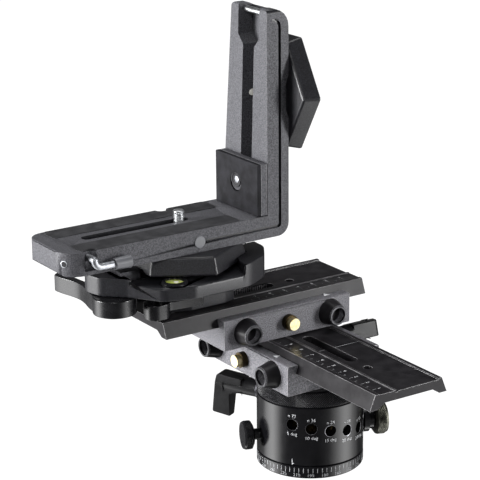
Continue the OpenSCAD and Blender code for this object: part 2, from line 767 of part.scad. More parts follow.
module qr_pivot_screw() color("silver") at_pivot() {
    translate([0, 0, -qr_lever_h - move_gap + 0.1]) cylinder(r = 5.6, h = 1.9);
    translate([0, 0, -qr_lever_h]) cylinder(r = 3, h = qr_lever_h + deck_t - 2.4);
}

// Moving jaw: hooks over the plate's left flat
module qr_jaw() color("silver") in_adapter() difference() {
    translate([-46 + 2.2, -8.7, z_deck - 1.9]) cube([46 - hex_flat - 2.2 + 2.6, 17.4, jaw_h + 1.2]);
    translate([0, 0, z_hex]) hex_frustum(hex_wide, hex_narrow, hex_t, move_gap);
    translate([-hex_flat - move_gap, -10, z_deck - 2.2]) cube([20, 20, z_hex - z_deck + 2.2]);
}

// Safety catch: a round-ended tab that swings on a pin in the foot
module qr_catch() color("black") in_adapter() translate([catch_x, catch_y, z_up_top + 1.4])
    difference() {
        union() {
            cylinder(r = 6.5, h = 8.6);
            linear_extrude(8.6) soft_polygon([[-9.5, -8.6, 5.5], [1.5, -8.6, 4], [5, -4, 3], [5, 3, 1],
                [-9.5, 3, 4]]);
            translate([0, 0, 3.6]) linear_extrude(5) soft_polygon([[0, -6.8, 0], [5, -6.8, 3],
                [24, -9, 1.5], [24, -3.6, 1], [6, -1, 0], [0, 0, 0]]);
        }
        translate([0, 0, 4]) cylinder(r = 2, h = 9);
    }

// ---- hexagonal plates and bracket ----

module hex_plate_under() color("black") difference() {
    in_adapter() translate([0, 0, z_hex]) hex_frustum(hex_wide, hex_narrow, hex_t);
    at_under_screws() {
        cylinder(r = 2.6, h = 60, center = true);
        translate([0, 0, -5]) cylinder(r = 5, h = 9);
    }
}

module at_under_screws() {
    in_adapter() for (s = [-1, 1]) translate([0, s * 14, z_hex]) children();
}

module at_side() {
    translate([upright_x, upright_mid(side_z), side_z]) rotate([0, 90, 0]) children();
}

// The narrow face is set against the upright
module hex_plate_side() color("black") difference() {
    at_side() translate([0, 0, hex_t]) mirror([0, 0, 1]) hex_frustum(hex_wide, hex_narrow, hex_t);
    at_side() translate([0, 0, -1]) cylinder(r = 3, h = 8.5);
    at_side_screws() {
        cylinder(r = 2.6, h = 60, center = true);
        translate([0, 0, hex_t - 4]) cylinder(r = 5, h = 9);
    }
}

module at_side_screws() {
    at_side() for (s = [-1, 1]) translate([s * 17, 0, 0]) children();
}

module hex_plate_screws() color("silver") {
    at_under_screws() {
        translate([0, 0, 0.6]) cylinder(r = 4.8, h = 3.4);
        translate([0, 0, 0.6]) cylinder(r = 2.5, h = hex_t + 5.4);
    }
    at_side_screws() {
        translate([0, 0, hex_t - 4]) cylinder(r = 4.8, h = 3.4);
        translate([0, 0, -3.6]) cylinder(r = 2.5, h = hex_t);
    }
    at_side() translate([0, 0, -upright_wall - 1.5]) cylinder(r = 3, h = upright_wall + 9);
}

// The upright's front edge is plumb and its back edge leans in
function upright_back(z) = arm_y1 - (arm_w - upright_top_w) * max(0, z - z_arm_top) / (z_top - z_arm_top);
function upright_mid(z) = (arm_y0 + upright_back(z)) / 2;

module bracket_side(inset = 0) {
    soft_polygon([[arm_x0 + inset, z_arm + inset, 3], [upright_x - inset, z_arm + inset, 7 - inset],
        [upright_x - inset, z_top - inset, 10 - inset], [face_x, z_top - inset, 1.5],
        [face_x, z_arm_top, move_gap], [arm_x0 + inset, z_arm_top, 1]]);
}

module bracket_plan() {
    soft_polygon([[arm_x0, arm_y0, 12], [upright_x + 5, arm_y0, 0], [upright_x + 5, arm_y1, 0],
        [arm_x0, arm_y1, 10]]);
}

module bracket_front() {
    translate([-1, 0, 0]) soft_polygon([[arm_y0, z_arm - 1, 0], [arm_y1, z_arm - 1, 0],
        [arm_y1, z_arm_top, 20], [upright_back(z_top), z_top, 3], [arm_y0, z_top, 3]]);
}

// Groove round the outside of the bracket, a flange's width in from its back
module bracket_groove(y0, y1) {
    along_y(y0, y1) difference() {
        bracket_side(upright_wall + 0.4);
        bracket_side(upright_wall + 2.1);
        translate([-400, 0]) square([400 + face_x - 40, 400]);
        translate([face_x - 60, z_arm_top - 4]) square([60 + 3.5, 400]);
        translate([face_x - 60, z_arm + 9]) square([54, 20]);
    }
}

module l_bracket() color("dimgray") difference() {
    intersection() {
        along_y(arm_y0, arm_y1) bracket_side();
        translate([0, 0, z_arm - 1]) linear_extrude(upright_h + 2) bracket_plan();
        rotate([0, 0, 90]) rotate([90, 0, 0]) translate([1, 0, -200])
            linear_extrude(400) bracket_front();
    }
    bracket_groove(arm_y0 - 1, arm_y0 + 1.4);
    upright_cut();
    // shallow finger scallop in the outer flange
    translate([upright_x + 26, arm_y0 - 1, side_z]) rotate([-90, 0, 0]) cylinder(r = 28.6, h = 3.4, $fn = 128);
    // slot of the camera screw, with a wide relief underneath
    translate([0, deck_y, 0]) slot_cut(arm_slot_x0, arm_slot_x1, slot_w, z_arm - 1, arm_t + 2);
    translate([0, deck_y, 0]) slot_cut(arm_slot_x0 - 3, arm_slot_x1 + 3, 2 * bush_r + 1, z_arm - 1, 4.4);
    // beds of the rubber strips
    strip_beds();
    // pockets at the edges: the crank's in front, and a plain one at the back
    translate([crank_x, arm_y0, z_arm + 2.2]) cylinder(r = 3.8, h = arm_t);
    translate([adapter_x + 0.5, arm_y1, z_arm - 1]) cylinder(r = 3.4, h = arm_t + 2);
    in_crank() rotate([-90, 0, 0]) cylinder(r = 1.9 + rod_fit, h = crank_out + 11);
    at_under_screws() cylinder(r = 2.5, h = hex_t + 6);
    at_side_screws() translate([0, 0, -3.6]) cylinder(r = 2.5, h = 20);
    at_side() translate([0, 0, -upright_wall - 2]) cylinder(r = 3, h = upright_wall + 4);
    // cross hole of the fork pin
    at_fork() cylinder(r = 1.75, h = fork_w + 7, center = true);
}

module upright_cut() {
    z0 = z_arm_top + 6;
    zf = z_top - fork_h;
    rotate([90, 0, 90]) translate([0, 0, face_x - 1]) linear_extrude(upright_t - upright_wall + 1)
        polygon([[upright_mid(z0) - channel_w / 2, z0], [upright_mid(z0) + channel_w / 2, z0],
            [upright_mid(zf) + channel_w / 2, zf - 5], [upright_mid(zf) + fork_w / 2, zf],
            [upright_mid(z_top) + fork_w / 2, z_top + 1], [upright_mid(z_top) - fork_w / 2, z_top + 1],
            [upright_mid(zf) - fork_w / 2, zf], [upright_mid(zf) - channel_w / 2, zf - 5]]);
}

module at_fork() {
    translate([face_x + 5, upright_mid(z_top - 4), z_top - 3.4]) rotate([90, 0, 0]) children();
}

module fork_pin() color("silver") at_fork() cylinder(r = 1.75, h = fork_w + 6.6, center = true);

module strip_outline(front) {
    y0 = front ? arm_y0 + 0.6 : arm_y1 - 0.4 - strip_w;
    soft_rect(arm_x0 + 10, y0, front ? -33.5 : -29.5, y0 + strip_w, 2.5);
}

module strip_beds() {
    for (front = [true, false]) translate([0, 0, z_arm_top - strip_t + 0.3]) linear_extrude(10)
        strip_outline(front);
}

module rubber_strips() color("black") difference() {
    for (front = [true, false]) translate([0, 0, z_arm_top - strip_t + 0.3]) linear_extrude(strip_t)
        strip_outline(front);
    translate([crank_x, arm_y0, z_arm]) cylinder(r = 4.4, h = 30);
    translate([adapter_x + 0.5, arm_y1, z_arm - 1]) cylinder(r = 4, h = 30);
}

// ---- camera screw, crank and camera stop ----

module at_camera() {
    translate([camera_x, deck_y, z_arm]) children();
}

module screw_bush() color("silver") at_camera() difference() {
    union() {
        translate([0, 0, 0.4]) cylinder(r = bush_r, h = 2.7);
        cylinder(r = slot_w / 2 - 0.1 - EPS, h = arm_t - 1.5);
    }
    translate([0, 0, -1]) cylinder(r = 1.9 + rod_fit, h = 30);
    translate([0, 0, arm_t - 4]) cylinder(r = slot_w, h = 30);
}

module camera_screw() color("silver") at_camera() {
    translate([0, 0, 0.6]) cylinder(r = 1.9, h = arm_t - 4);
    translate([0, 0, arm_t - 3.7]) cylinder(r = screw_r - 0.3, h = 4.2);
    translate([0, 0, arm_t + 0.3]) cylinder(r = screw_r, h = 5.5);
}

// Bent rod that turns in the arm's front side, with a grip on its end
module in_crank() {
    translate([crank_x, arm_y0 - crank_out, crank_z]) children();
}

module crank() color("silver") in_crank() {
    rotate([-90, 0, 0]) cylinder(r = 1.9, h = crank_out + 10);
    translate([crank_bend, 0, 0]) rotate([90, 0, 0]) rotate_extrude(angle = 90, $fn = 96)
        translate([-crank_bend, 0]) circle(r = 1.9);
    translate([crank_bend - 0.1, 0, -crank_bend]) bar(0, 11, 1.9);
    sphere(r = 1.9);
}

module crank_grip() color("dimgray") in_crank() translate([crank_bend + 7.4, 0, -crank_bend])
    difference() {
        rotate([0, 90, 0]) turned([[0, 0], [2.9, 0], [3.1, 0.4], [3.5, 9.4], [3.1, 10], [0, 10]]);
        bar(-1, 3.9, 1.9);
    }

module stop_outline(r) {
    soft_rect(-stop_w / 2, 0, stop_w / 2, stop_h, r);
}

// Set against the upright: a plate with a rubber face, and a key in the channel
module at_stop() {
    translate([face_x - move_gap, arm_y0 + stop_w / 2, z_arm_top + move_gap]) rotate([90, 0, -90])
        children();
}

stop_screw_y = stop_h * 0.53;

module at_stop_screw() {
    translate([face_x - move_gap, upright_mid(z_arm_top + stop_screw_y), z_arm_top + stop_screw_y])
        children();
}

module stop_plate() color("dimgray") difference() {
    at_stop() linear_extrude(stop_t) stop_outline(0.8);
    at_stop_screw() bar(-stop_t - 1, 1, 3);
}

// Its head is seen through the pad, and its nut rides in the channel
module stop_screw() color("silver") at_stop_screw() {
    bar(-stop_t - 1.8, -stop_t, 4.7);
    bar(-stop_t - 0.5, 6, 3);
    bar(1.2, 6.2, channel_w / 2 - 0.3);
}

module stop_pad() color("black") at_stop() translate([0, 0, stop_t]) difference() {
    linear_extrude(pad_t) stop_outline(0.6);
    translate([arm_y0 + stop_w / 2 - upright_mid(z_arm_top + stop_screw_y),
        stop_screw_y - move_gap, -1]) cylinder(r = 5.2, h = 9);
}

base_plate();
tripod_bush();
scale_ring();
spindle();
index_rings();
ring_clamp_screws();
spindle_nut();
housing();
knurled_disc();
disc_screws();
clamp_stud();
plunger_collar();
plunger_pin();
plunger_knob();
drag_knob();
drag_pad();
pan_lever();
pan_lever_screw();
pan_brake_shoe();
lower_clamp();
lower_jaw();
lower_jaw_rods();
lower_button();
lower_button_bush();
lower_lever();
lower_lever_screw();
lower_slide();
upper_clamp();
upper_clamp_screws();
upper_jaw();
upper_jaw_rods();
upper_button();
upper_button_bush();
upper_lever();
upper_lever_screw();
upper_slide();
adapter_foot();
adapter_body();
adapter_screws();
level_ring();
level_vial();
qr_lever();
qr_pivot_screw();
qr_jaw();
qr_catch();
l_bracket();
hex_plate_under();
hex_plate_side();
hex_plate_screws();
rubber_strips();
screw_bush();
camera_screw();
fork_pin();
crank();
crank_grip();
stop_plate();
stop_pad();
stop_screw();
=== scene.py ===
import json
import math

import bmesh
import bpy
from mathutils import Matrix, Vector


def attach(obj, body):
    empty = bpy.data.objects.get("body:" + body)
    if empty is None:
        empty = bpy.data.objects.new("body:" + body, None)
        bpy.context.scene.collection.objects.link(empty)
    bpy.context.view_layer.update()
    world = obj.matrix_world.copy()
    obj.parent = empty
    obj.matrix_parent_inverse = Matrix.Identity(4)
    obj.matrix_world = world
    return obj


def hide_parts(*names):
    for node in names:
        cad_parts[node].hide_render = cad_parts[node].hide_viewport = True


MM = 0.001
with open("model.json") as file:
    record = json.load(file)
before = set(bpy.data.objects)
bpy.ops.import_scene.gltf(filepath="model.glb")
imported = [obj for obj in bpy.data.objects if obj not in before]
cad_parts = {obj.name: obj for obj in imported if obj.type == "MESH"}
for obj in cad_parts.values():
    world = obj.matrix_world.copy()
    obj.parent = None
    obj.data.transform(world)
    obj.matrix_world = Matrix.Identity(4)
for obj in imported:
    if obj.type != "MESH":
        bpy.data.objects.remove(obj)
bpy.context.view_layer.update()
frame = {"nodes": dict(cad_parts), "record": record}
nodes = frame["nodes"]
body_of = {n: b for b, ns in frame["record"]["behaviour"]["bodies"].items() for n in ns}

# Lengths are in mm and angles in degrees, unless a line says otherwise. X runs along the
# upper plate, -Y along the lower plate towards the camera, Z up the pan axis.
X, Y, Z = Vector((1, 0, 0)), Vector((0, 1, 0)), Vector((0, 0, 1))

# Sizes and places of the CAD model that the dressing sits on
BASE_R, HOUSE_Z = 30.0, 7.4
DISC_R, DISC_Z, DISC_TOP = 29.6, 41.5, 51.0
HOLE_R = 3.25
HOLE_A, HOLE_STEP = 215.0, 20.8                       # first index hole, and on to the next
HOLE_Z, HOLE_DROP = 31.5, 1.9
HOLE_COUNTS = (72, 36, 24, 18, 15, 12, 10, 8, 6, 4)   # clicks in a turn, by hole
PLUNGER_HOLE = 6                                      # the hole that the plunger sits in
DRAG_A, DRAG_Z = 160, 17.5
LOW_TOP, UP_TOP, DECK_TOP = 71.8, 92.6, 115.5
JAW_RISE = 5.8                                        # fixed jaw's top above the deck
ARM_Z, ARM_TOP = 128.2, 140.9
LEVEL_X, LEVEL_Y = -79.0, 14.0
CAMERA_SCREW = (-59.5, 40.0, ARM_Z)
STOP_SCREW = (-22.1, 39.5, 158.0)

# Printed marks
INK_T, INK_MID = 0.06, 0.02                           # thickness, and its middle off the face
LABEL_CAP, SCALE_CAP = 1.9, 2.0                       # heights of the lettering
FIRST_TICK, NUMBER_195, HOUSE_LINE = 237.5, 235.2, 215.2
LOW_ONE, UP_ONE = (-13.8, -80.6, LOW_TOP - 0.4), (39.7, 27.1, UP_TOP - 0.4)
LOW_PITCH, UP_PITCH = 9.94, 9.67                      # between the numbers, as measured
LOW_MARK, UP_MARK = (-26.4, -5.2, 68.2), (21.0, 14.2, 89.0)


# ---- materials -------------------------------------------------------------

def srgb(code):
    parts = [int(code[i:i + 2], 16) / 255 for i in (1, 3, 5)]
    return [p / 12.92 if p <= 0.04045 else ((p + 0.055) / 1.055) ** 2.4 for p in parts] + [1.0]


def grey(level):
    return (level, level, level, 1)


def new_material(name, colour, rough, metallic=0.0):
    m = bpy.data.materials.new(name)
    m.use_nodes = True
    shader = m.node_tree.nodes["Principled BSDF"]
    shader.inputs["Base Color"].default_value = srgb(colour)
    shader.inputs["Roughness"].default_value = rough
    shader.inputs["Metallic"].default_value = metallic
    return m


def add(m, kind, settings=None, **links):
    """Adds a node to a material or world; a link is socket_name=(node, output)."""
    n = m.node_tree.nodes.new(kind)
    for key, value in (settings or {}).items():
        if key in n.inputs:
            n.inputs[key].default_value = value
        else:
            setattr(n, key, value)
    for key, (node, out) in links.items():
        m.node_tree.links.new(node.outputs[out], n.inputs[key.replace("_", " ")])
    return n


# In the functions below, a source or a value is the output of a node: (node, output).

def calculated(m, operation, *values):
    """Result of a math node; a value may be a plain number."""
    n = add(m, "ShaderNodeMath", {"operation": operation})
    for socket, value in zip(n.inputs, values):
        if isinstance(value, tuple):
            m.node_tree.links.new(value[0].outputs[value[1]], socket)
        else:
            socket.default_value = value
    return n, "Value"


def stretched(m, source, factors):
    """Point or direction with each coordinate times its factor."""
    n = add(m, "ShaderNodeVectorMath", {"operation": "MULTIPLY"}, Vector=source)
    n.inputs[1].default_value = factors
    return n, "Vector"


def ramp(m, source, *stops):
    """Colour ramp; a stop is (position, colour)."""
    n = add(m, "ShaderNodeValToRGB", {}, Fac=source)
    marks = n.color_ramp.elements
    marks[0].position, marks[0].color = stops[0]
    marks[1].position, marks[1].color = stops[-1]
    for position, colour in stops[1:-1]:
        marks.new(position).color = colour
    return n, "Color"


def noise(m, pitch, detail=2.0, stretch=None):
    """Noise on Object coordinates with the given pitch in mm."""
    where = (add(m, "ShaderNodeTexCoord"), "Object")
    if stretch:
        where = (add(m, "ShaderNodeMapping", {"Scale": stretch}, Vector=where), "Vector")
    fineness = {"Scale": 1 / (pitch * MM), "Detail": detail}
    return add(m, "ShaderNodeTexNoise", fineness, Vector=where), "Fac"


def into_shader(m, socket, source):
    node, out = source
    shader = m.node_tree.nodes["Principled BSDF"]
    m.node_tree.links.new(node.outputs[out], shader.inputs[socket])


def bump(m, source, height, strength):
    depth = {"Strength": strength, "Distance": height * MM}
    into_shader(m, "Normal", (add(m, "ShaderNodeBump", depth, Height=source), "Normal"))


def tint(m, source, low, high, from_value=0.35, to_value=0.65):
    """Base colour that wanders between two colours."""
    colours = ramp(m, source, (from_value, srgb(low)), (to_value, srgb(high)))
    into_shader(m, "Base Color", colours)


def wander_rough(m, source, low, high):
    """Roughness that wanders between two values."""
    span = {"To Min": low, "To Max": high}
    into_shader(m, "Roughness", (add(m, "ShaderNodeMapRange", span, Value=source), "Result"))


def powder_coat(name, low, high, rough):
    # Sprayed polyester powder on cast aluminium: pebbled, with light flecks. The grain is
    # drawn at 0.6 mm, about twice the real one, so that it shows in the render.
    m = new_material(name, low, rough)
    grain = noise(m, 0.6, 3.0)
    patch = noise(m, 9.0)
    tint(m, grain, low, high, 0.36, 0.68)
    wander_rough(m, patch, rough - 0.06, rough + 0.08)
    bump(m, grain, 0.08, 0.7)
    return m


def anodised(name, low, high, rough, stretch=None, fleck=0.18):
    # Turned or extruded aluminium, dyed and sealed: smooth, faint lines of the tool
    m = new_material(name, low, rough)
    fine = noise(m, fleck, 2.0, stretch)
    patch = noise(m, 7.0, 3.0)
    tint(m, patch, low, high)
    wander_rough(m, patch, rough - 0.05, rough + 0.07)
    bump(m, fine, 0.006, 0.25)
    return m


def metal(name, low, high, rough):
    # Turned or plated metal: soft streaks and a little handling haze
    m = new_material(name, low, rough, 1.0)
    patch = noise(m, 2.4, 3.0)
    fine = noise(m, 0.3)
    tint(m, patch, low, high)
    wander_rough(m, patch, rough - 0.05, rough + 0.08)
    bump(m, fine, 0.004, 0.15)
    return m


def plastic(name, low, high, rough, grain_pitch, depth):
    # Moulded plastic or rubber with the fine spark texture of its mould. Ink and the
    # level's fluid use it too, with next to no depth.
    m = new_material(name, low, rough)
    grain = noise(m, grain_pitch)
    patch = noise(m, 6.0)
    tint(m, patch, low, high)
    wander_rough(m, patch, rough - 0.04, rough + 0.06)
    bump(m, grain, depth, 0.8)
    return m


def knurl_with_tip_highlight(name, black, tip_highlight, rough):
    # Dyed knurl whose tips, which stand past the disc, are painted a lighter grey: a painted
    # highlight on the knurl's points
    m = anodised(name, black, black, rough)
    flat = stretched(m, (add(m, "ShaderNodeTexCoord"), "Object"), (1, 1, 0))
    radius = (add(m, "ShaderNodeVectorMath", {"operation": "LENGTH"}, Vector=flat), "Value")
    tips = {"From Min": (DISC_R + 0.24) * MM, "From Max": (DISC_R + 0.34) * MM}
    tip_highlight_share = (add(m, "ShaderNodeMapRange", tips, Value=radius), "Result")
    tint(m, tip_highlight_share, black, tip_highlight, 0.0, 1.0)
    return m


# Each has its name, its two colours and its roughness, then what its own kind adds
black_anodised = anodised("black_anodised_turned", "#070709", "#0c0c0e", 0.2, (1, 1, 14))
slide_anodised = anodised("black_anodised_extrusion", "#151416", "#201f21", 0.32)
# Lighter copy of the plates' anodising for their broken edges and ribs: a painted highlight
slide_edge_highlight = anodised("anodised_painted_edge_highlight", "#39383a", "#5c5b5d", 0.36)
satin = anodised("black_satin_paint", "#0c0c0e", "#131315", 0.26, None, 0.4)
# The knurl's tips take the lighter second colour, a painted highlight
knurl_anodised = knurl_with_tip_highlight("black_anodised_knurl", "#09090b", "#77767b", 0.3)
coat = powder_coat("powder_coat_castings", "#3e3e41", "#727176", 0.5)
coat_adapter = powder_coat("powder_coat_adapter", "#0b0b0d", "#232327", 0.36)
coat_bracket = powder_coat("powder_coat_bracket", "#303033", "#535357", 0.52)
# Lighter copy of the castings' coat for their broken edges: a painted highlight
coat_edge_highlight = powder_coat("powder_coat_painted_edge_highlight", "#606063", "#858488", 0.4)
lever_plastic = plastic("glass_filled_nylon", "#0d0d0e", "#151516", 0.34, 0.5, 0.02)
grip_plastic = plastic("grey_nylon", "#46474b", "#515257", 0.46, 0.4, 0.02)
rubber = plastic("ribbed_rubber", "#222224", "#303032", 0.72, 0.5, 0.05)
pad_rubber = plastic("pad_rubber", "#131315", "#202023", 0.66, 0.7, 0.06)
acetal = plastic("acetal", "#dad8cf", "#e6e4dc", 0.45, 0.5, 0.01)
vial_fluid = plastic("level_fluid", "#aeb957", "#cfd884", 0.12, 0.5, 0.0)
ink = plastic("marking_ink", "#b2b3b6", "#c8c9cc", 0.6, 0.2, 0.01)
faint_ink = plastic("marking_ink_thin", "#8d8e91", "#a5a6a9", 0.6, 0.2, 0.01)
brass = metal("turned_brass", "#c2b182", "#dbd0a8", 0.4)
brass_dark = metal("brass_in_shade", "#2a2418", "#3d3424", 0.5)
steel = metal("turned_steel", "#8f9194", "#c9cbcd", 0.24)
bright_steel = metal("plated_steel", "#b4b6b9", "#dcdee0", 0.32)
dark_steel = metal("blackened_steel", "#28282a", "#3c3c3f", 0.4)
wire = metal("plated_wire", "#74767a", "#94969a", 0.45)
aluminium = metal("mill_aluminium", "#a9abad", "#cfd1d3", 0.3)
knob_black = metal("black_oxide_knurled", "#3c3c37", "#585850", 0.36)
rim_highlight = metal("rim_painted_highlight", "#2c2c2e", "#454547", 0.4)
hole_rim_highlight = metal("hole_rim_painted_highlight", "#5e5e61", "#7c7c80", 0.3)

# Pores in the dye, the coats and the mouldings take most of the gloss away
for dull, level in ((slide_anodised, 0.08), (rubber, 0.15), (pad_rubber, 0.06), (coat, 0.2),
                    (coat_bracket, 0.15), (coat_adapter, 0.28), (lever_plastic, 0.1),
                    (black_anodised, 0.32), (satin, 0.3), (knurl_anodised, 0.1)):
    dull.node_tree.nodes["Principled BSDF"].inputs["Specular IOR Level"].default_value = level

# Finish of each material slot in the record, and of the nodes that have one of their own
finish = {
    "black_anodised": black_anodised, "powder_coat": coat, "black_satin": satin,
    "black_plastic": lever_plastic, "grey_plastic": grip_plastic, "rubber": rubber,
    "brass": brass, "brass_dark": brass_dark, "steel": steel, "acetal": acetal,
    "aluminium": aluminium, "vial": vial_fluid,
}
special = {
    "l_bracket": coat_bracket, "stop_plate": coat_bracket, "stop_pad": pad_rubber,
    "lower_slide": slide_anodised, "upper_slide": slide_anodised,
    "lower_jaw_rods": slide_anodised, "upper_jaw_rods": slide_anodised,
    "adapter_body": coat_adapter, "adapter_foot": coat_adapter,
    "hex_plate_under": coat_adapter, "hex_plate_side": coat_adapter,
    "crank": wire, "fork_pin": aluminium, "camera_screw": bright_steel,
    "qr_jaw": dark_steel, "stop_screw": dark_steel, "pan_lever_screw": dark_steel,
    "lower_lever_screw": dark_steel, "upper_lever_screw": dark_steel,
    "index_rings": brass_dark, "level_ring": satin,
}
for part in frame["record"]["subparts"]:
    look = special.get(part["node"]) or finish[part["material_slot"]]
    for slot in nodes[part["node"]].material_slots:
        slot.material = look


# ---- helpers for new pieces ------------------------------------------------

def place(origin, right, up):
    """Matrix from a flat drawing in mm to the object, given where its x and y point."""
    x, y = Vector(right).normalized(), Vector(up).normalized()
    turn = Matrix((x, y, x.cross(y))).transposed().to_4x4()
    return Matrix.Translation(Vector(origin) * MM) @ turn @ Matrix.Scale(MM, 4)


AXIS = place((0, 0, 0), X, Y)   # for drawings that already stand about the pan axis


def on_wall(angle, z):
    """Frame on the pan axis, at height z: x round the turret, y up, z outward."""
    a = math.radians(angle)
    return place((0, 0, z), (-math.sin(a), math.cos(a), 0), Z)


def to_object(name, bm, look):
    mesh = bpy.data.meshes.new(name)
    bm.to_mesh(mesh)
    bm.free()
    mesh.materials.append(look)
    obj = bpy.data.objects.new(name, mesh)
    bpy.context.scene.collection.objects.link(obj)
    return obj


def piece(name, bm, look, body, smooth=None, where=None):
    """Makes an object of a mesh and lets it ride on a body.

    smooth: angle in degrees above which an edge stays sharp; flat without it.
    where: matrix from place or on_wall, for a mesh that is still in mm.
    """
    if where is not None:
        bmesh.ops.transform(bm, matrix=where, verts=bm.verts)
    obj = to_object(name, bm, look)
    if smooth is not None:
        obj.data.shade_smooth()
        obj.data.set_sharp_from_angle(angle=math.radians(smooth))
    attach(obj, body)
    return obj


def join(target, source, where=None):
    """Moves a small mesh into a larger one."""
    if where is not None:
        bmesh.ops.transform(source, matrix=where, verts=source.verts)
    mesh = bpy.data.meshes.new("part")
    source.to_mesh(mesh)
    source.free()
    target.from_mesh(mesh)
    bpy.data.meshes.remove(mesh)


def wrap(bm, angle, z):
    """Lays a flat drawing round the wall of the base or the housing: x round, y up."""
    for v in bm.verts:
        a = math.radians(angle) + v.co.x / BASE_R
        r = BASE_R + v.co.z
        v.co = Vector((r * math.cos(a), r * math.sin(a), z + v.co.y)) * MM


def turned(profile, steps, closed=False, turns=1.0, rise=0.0):
    """Spins a profile of (radius, height) about the local z axis; a rise makes a thread."""
    bm = bmesh.new()
    line = [bm.verts.new((r, 0, h)) for r, h in profile]
    pairs = list(zip(line, line[1:])) + ([(line[-1], line[0])] if closed else [])
    edges = [bm.edges.new(p) for p in pairs]
    steps = int(steps * turns)
    bmesh.ops.spin(bm, geom=line + edges, axis=(0, 0, 1), cent=(0, 0, 0),
                   dvec=(0, 0, rise / steps), angle=math.tau * turns, steps=steps,
                   use_merge=rise == 0)
    bmesh.ops.remove_doubles(bm, verts=bm.verts, dist=1e-4)
    if rise:
        bmesh.ops.holes_fill(bm, edges=bm.edges, sides=len(profile))
    bmesh.ops.recalc_face_normals(bm, faces=bm.faces)
    return bm


def knurled(start, grip, end, rows, steps, depth, closed=False):
    """Turned piece with a diamond knurl rolled into its grip: (radius, low, high)."""
    radius, low, high = grip
    wall = [(radius, low + (high - low) * i / rows) for i in range(rows + 1)]
    bm = turned(start + wall + end, steps, closed)

    def squares():
        return [f for f in bm.faces if low < f.calc_center_median().z < high
                and f.calc_center_median().xy.length > radius - 1 and len(f.verts) == 4]

    bm.normal_update()
    faces = squares()
    chosen = set(faces)
    old = [e for e in {e for f in faces for e in f.edges}
           if len(e.link_faces) == 2 and all(f in chosen for f in e.link_faces)]
    bmesh.ops.poke(bm, faces=faces)
    bmesh.ops.dissolve_edges(bm, edges=old, use_verts=False, use_face_split=False)
    bm.normal_update()
    bmesh.ops.poke(bm, faces=squares(), offset=depth)
    return bm


def box(size, middle):
    """Block of the given size about its middle."""
    bm = bmesh.new()
    bmesh.ops.create_cube(bm, size=1)
    bmesh.ops.scale(bm, vec=size, verts=bm.verts)
    bmesh.ops.translate(bm, vec=middle, verts=bm.verts)
    return bm


def stroke(width, height, x, y):
    """Printed line of a width and height, about the point x, y."""
    return box((width, height, INK_T), (x, y, INK_MID))


def letters(words, cap):
    """Lettering with capitals of height cap, centred on the origin."""
    curve = bpy.data.curves.new("letters", "FONT")
    curve.body = words
    curve.size = 1
    curve.extrude = INK_T / 2 / cap
    curve.offset = -0.012   # thins the strokes
    curve.resolution_u = 2
    curve.align_x = "CENTER"
    obj = bpy.data.objects.new("letters", curve)
    mesh = bpy.data.meshes.new_from_object(obj)
    bm = bmesh.new()
    bm.from_mesh(mesh)
    bpy.data.objects.remove(obj)
    bpy.data.curves.remove(curve)
    bpy.data.meshes.remove(mesh)
    size = cap / 0.7   # a capital is 0.7 of the font's size
    bmesh.ops.scale(bm, vec=(size, size, cap), verts=bm.verts)
    bmesh.ops.translate(bm, vec=(0, -cap / 2, INK_MID), verts=bm.verts)
    return bm


# ---- broken edges ----------------------------------------------------------

def sharp(bm, turn):
    """Outer edges where the surface turns by more than so many radians."""
    return [e for e in bm.edges if e.is_convex and e.calc_face_angle(0) > turn]


def rounded(bm, edges, radius, segments):
    bmesh.ops.bevel(bm, geom=edges, offset=radius * MM, offset_type="OFFSET", segments=segments,
                    profile=0.5, affect="EDGES", clamp_overlap=True, material=-1)


def softened(node, width, edge=None, rounds=(), corners=0.0, dark=()):
    """Shows a copy of a CAD node with broken edges in the node's place.

    edge: lighter material for the broken edges, a painted highlight along them; without it they
    keep the faces' finish.
    rounds: (height, radius) of flat tops whose outer edge is rounder than the others.
    corners: radius of upright corners that are rounder than the others.
    dark: (low, high) corners of boxes; a face with its middle in one is painted black, a painted
    shade for a recess.
    """
    bm = bmesh.new()
    bm.from_mesh(nodes[node].data)
    bmesh.ops.remove_doubles(bm, verts=bm.verts, dist=0.001 * MM)
    bmesh.ops.dissolve_limit(bm, angle_limit=math.radians(0.6), verts=bm.verts, edges=bm.edges)
    for height, radius in rounds:
        rim = [e for e in sharp(bm, 1.2)
               if all(abs(v.co.z / MM - height) < 0.05 for v in e.verts)]
        rounded(bm, rim, radius, 4)
    if corners:
        upright = [e for e in sharp(bm, 0.45)
                   if (e.verts[0].co.xy - e.verts[1].co.xy).length < 0.01 * MM]
        rounded(bm, upright, corners, 5)
    obj = piece(node + "_finished", bm, nodes[node].material_slots[0].material, body_of[node], 35)
    mod = obj.modifiers.new("edges", "BEVEL")
    mod.width = width * MM
    mod.segments = 2
    mod.limit_method = "ANGLE"
    mod.angle_limit = math.radians(28)
    mod.use_clamp_overlap = node == "l_bracket"
    mod.harden_normals = True
    # Slot 1 paints a highlight on the broken edges where an edge material is given
    obj.data.materials.append(edge or coat_adapter)
    obj.data.materials.append(coat_adapter)
    mod.material = 1 if edge else -1
    # Faces in the dark boxes take slot 2, the black adapter coat: painted shade
    for low, high in dark:
        for f in obj.data.polygons:
            if all(a < c / MM < b for a, c, b in zip(low, f.center, high)):
                f.material_index = 2
    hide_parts(node)
